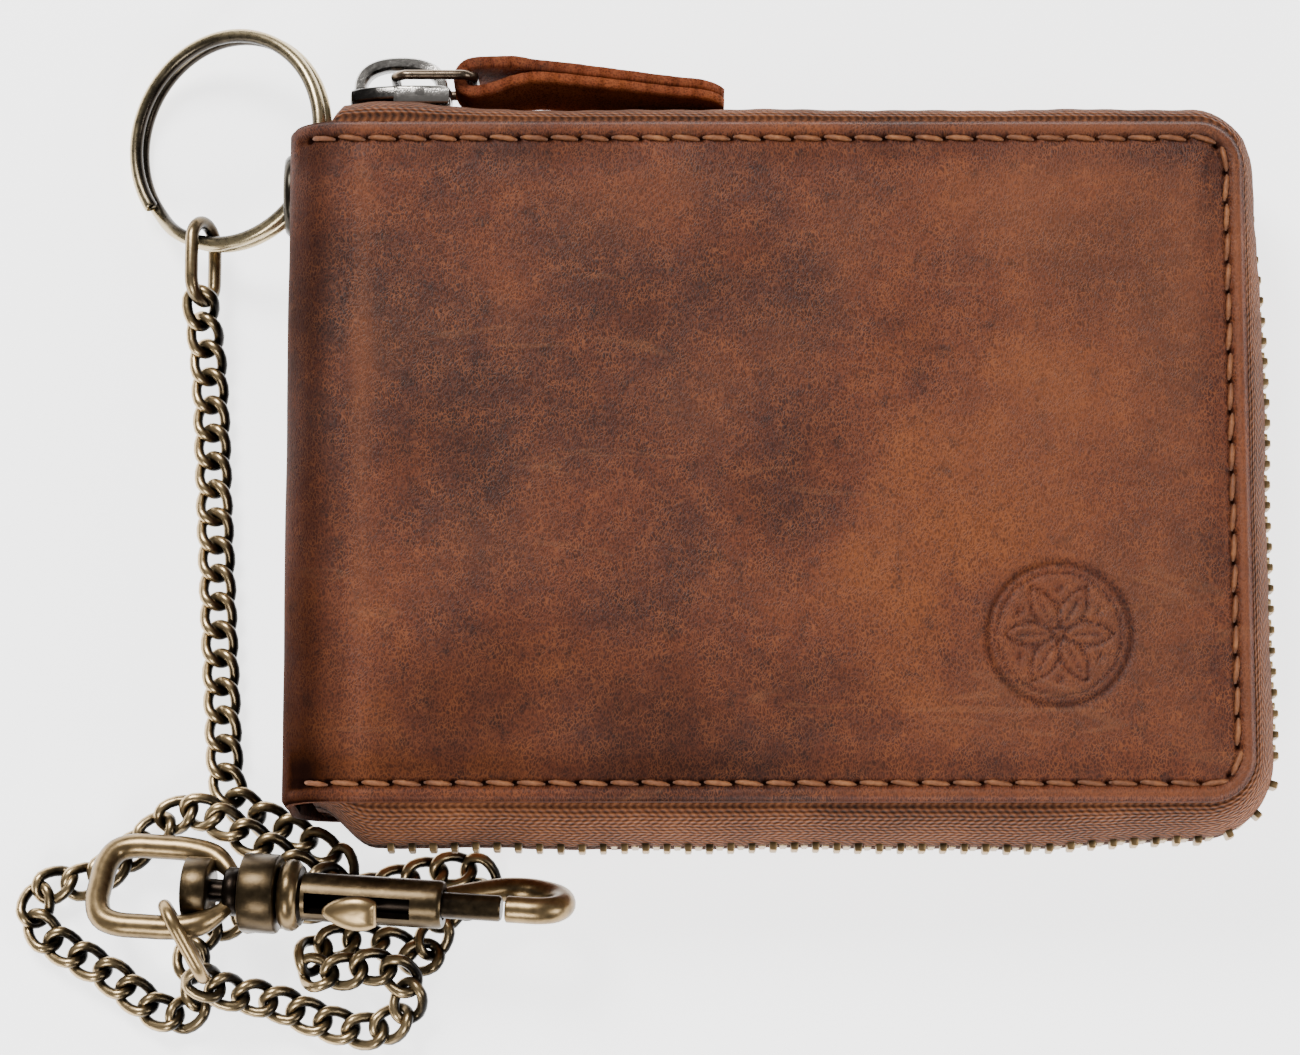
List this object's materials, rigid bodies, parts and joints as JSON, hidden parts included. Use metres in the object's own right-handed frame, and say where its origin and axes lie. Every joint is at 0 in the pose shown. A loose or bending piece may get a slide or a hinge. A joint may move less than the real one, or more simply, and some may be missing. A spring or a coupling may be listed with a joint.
{
  "type": "chain wallet",
  "caption": "Zip-around leather wallet lying closed, with a split key ring through a spine eyelet, a curb chain and a swivel bolt snap hook",
  "frame": {"origin": "centre of the back cover's outer face, the face that it lies on", "axes": "+X from the spine to the open side, +Y up along the spine, +Z from the back cover to the front cover"},
  "size_m": [0.1648, 0.1356, 0.0252],
  "materials": {
    "leather": "oiled, mottled, lightly scuffed",
    "lining": "woven",
    "eyelet_metal": "antiqued",
    "chain_brass": "antiqued, worn bright on the high points",
    "snap_metal": "antiqued cast",
    "ring_metal": "antiqued wire",
    "slider_metal": "worn nickel plate",
    "pull_metal": "darkened wire",
    "tab_leather": "raw edges",
    "thread": "waxed twisted thread",
    "tape": "herringbone woven",
    "teeth": "antiqued",
    "pocket_leather": "smooth"
  },
  "bodies": {
    "spine": {"spine_leather": "leather", "spine_lining": "lining", "eyelet": "eyelet_metal", "eyelet_washer": "eyelet_metal", "chain": "chain_brass", "top_link": "chain_brass", "bottom_link": "chain_brass", "swivel_eye": "snap_metal"},
    "key_ring": {"key_ring": "ring_metal"},
    "snap_body": {"snap_body": "snap_metal"},
    "snap_bolt": {"snap_bolt": "snap_metal"},
    "front_cover": {"front_leather": "leather", "front_stitches": "thread", "front_tape": "tape", "front_teeth": "teeth", "front_lining": "lining", "front_pocket_1": "pocket_leather", "front_pocket_2": "pocket_leather", "front_pocket_3": "pocket_leather", "front_bill_panel": "pocket_leather"},
    "back_cover": {"back_leather": "leather", "back_stitches": "thread", "back_tape": "tape", "back_teeth": "teeth", "back_lining": "lining", "back_pocket_1": "pocket_leather", "back_pocket_2": "pocket_leather", "back_pocket_3": "pocket_leather", "back_bill_panel": "pocket_leather"},
    "slider": {"slider": "slider_metal"},
    "pull_ring": {"pull_ring": "pull_metal"},
    "pull_tab": {"pull_tab": "tab_leather", "tab_stitches": "thread"}
  },
  "joints": [
    {"name": "front_cover_fold", "type": "hinge", "parent": "spine", "child": "front_cover", "pos_m": [-0.061, 0, 0.0235], "axis": [0, -1, 0], "range_deg": [0, 90]},
    {"name": "back_cover_fold", "type": "hinge", "parent": "spine", "child": "back_cover", "pos_m": [-0.061, 0, 0.0015], "axis": [0, 1, 0], "range_deg": [0, 90]},
    {"name": "slider_travel", "type": "slide", "parent": "back_cover", "child": "slider", "axis": [1, 0, 0], "range_m": [0, 0.094]},
    {"name": "pull_ring_swing", "type": "hinge", "parent": "slider", "child": "pull_ring", "pos_m": [-0.0488, 0.0529, 0.0125], "axis": [0, 0, 1], "range_deg": [0, 90]},
    {"name": "pull_tab_swing", "type": "hinge", "parent": "pull_ring", "child": "pull_tab", "pos_m": [-0.0384, 0.0529, 0.0125], "axis": [0, 0, 1], "range_deg": [0, 60]},
    {"name": "key_ring_turn", "type": "hinge", "parent": "spine", "child": "key_ring", "pos_m": [-0.0715, 0.0466, 0.0075], "axis": [-0.4384, 0, 0.8988], "continuous": true},
    {"name": "snap_swivel", "type": "hinge", "parent": "spine", "child": "snap_body", "pos_m": [-0.0884, -0.0534, 0.0074], "axis": [0.9906, -0.0745, 0.1149], "range_deg": [-145, 26]},
    {"name": "bolt_slide", "type": "slide", "parent": "snap_body", "child": "snap_bolt", "axis": [-0.9906, 0.0745, -0.1149], "range_m": [0, 0.006], "stiffness_N_per_m": 250, "springref_m": -0.002}
  ]
}
